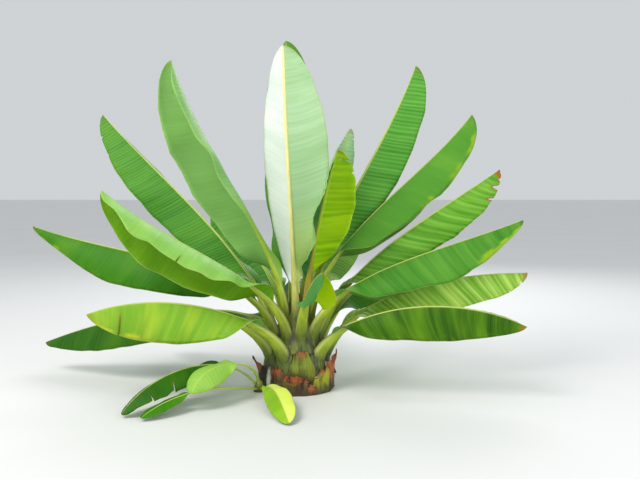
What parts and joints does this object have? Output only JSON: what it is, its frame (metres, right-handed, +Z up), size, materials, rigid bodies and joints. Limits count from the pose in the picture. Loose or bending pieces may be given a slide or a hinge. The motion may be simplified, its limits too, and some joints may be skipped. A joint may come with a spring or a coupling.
{
  "type": "rock banana plant",
  "caption": "Young rock banana plant: a short swollen trunk, a full crown of arching paddle leaves, old cut leaf bases round its foot and a small offshoot at its side.",
  "frame": {"origin": "middle of the trunk's flat cut, at ground level", "axes": "+Z up; +X to the right and +Y away, for a viewer at the picture's place"},
  "size_m": [3.8326, 2.6616, 2.5932],
  "materials": {
    "trunk": "green and yellow-green packed leaf sheaths with purple-brown blotches",
    "stalk": "smooth yellow-green channelled stalk with pale edges",
    "blade": "satin green leaf with fine cross veins, paler underneath",
    "sunlit_blade": "yellow-green leaf with the light through it",
    "pale_blade": "pale bloom-covered underside",
    "husk": "dry fibrous leaf base with an orange-brown cut edge"
  },
  "bodies": {
    "root": {"trunk": "trunk", "leaf_left_lowest_stalk": "stalk", "leaf_left_lowest_blade": "blade", "leaf_left_low_stalk": "stalk", "leaf_left_low_blade": "sunlit_blade", "leaf_left_long": "blade", "leaf_left_tented": "blade", "leaf_left_ribbed": "blade", "leaf_left_tall": "blade", "leaf_front_tallest": "pale_blade", "leaf_back_tallest": "blade", "leaf_front_sunlit": "sunlit_blade", "leaf_back_upright": "blade", "leaf_right_tall": "blade", "leaf_right_upper": "blade", "leaf_right_pleated": "blade", "leaf_right_long": "blade", "leaf_right_striped_stalk": "stalk", "leaf_right_striped_blade": "blade", "leaf_right_low_stalk": "stalk", "leaf_right_low_blade": "blade", "leaf_front_short": "sunlit_blade", "leaf_back_low_right_stalk": "stalk", "leaf_back_low_right_blade": "blade", "leaf_back_low_stalk": "stalk", "leaf_back_low_blade": "blade", "leaf_back_low_left_stalk": "stalk", "leaf_back_low_left_blade": "blade", "leaf_back_high_right": "blade", "leaf_back_high_left": "blade", "husk_left_flap": "husk", "husk_front_left": "husk", "husk_front_upper": "husk", "husk_front_lower": "husk", "husk_front_scrap": "husk", "husk_right": "husk", "husk_right_flap": "husk", "husk_back_right": "husk", "husk_back": "husk", "husk_back_upper": "husk", "husk_back_left": "husk", "offshoot_stem": "stalk", "offshoot_leaf_long_stalk": "stalk", "offshoot_leaf_long_blade": "blade", "offshoot_leaf_pale_stalk": "stalk", "offshoot_leaf_pale_blade": "pale_blade", "offshoot_leaf_low_stalk": "stalk", "offshoot_leaf_low_blade": "blade", "offshoot_leaf_front_stalk": "stalk", "offshoot_leaf_front_blade": "sunlit_blade"}
  },
  "joints": []
}
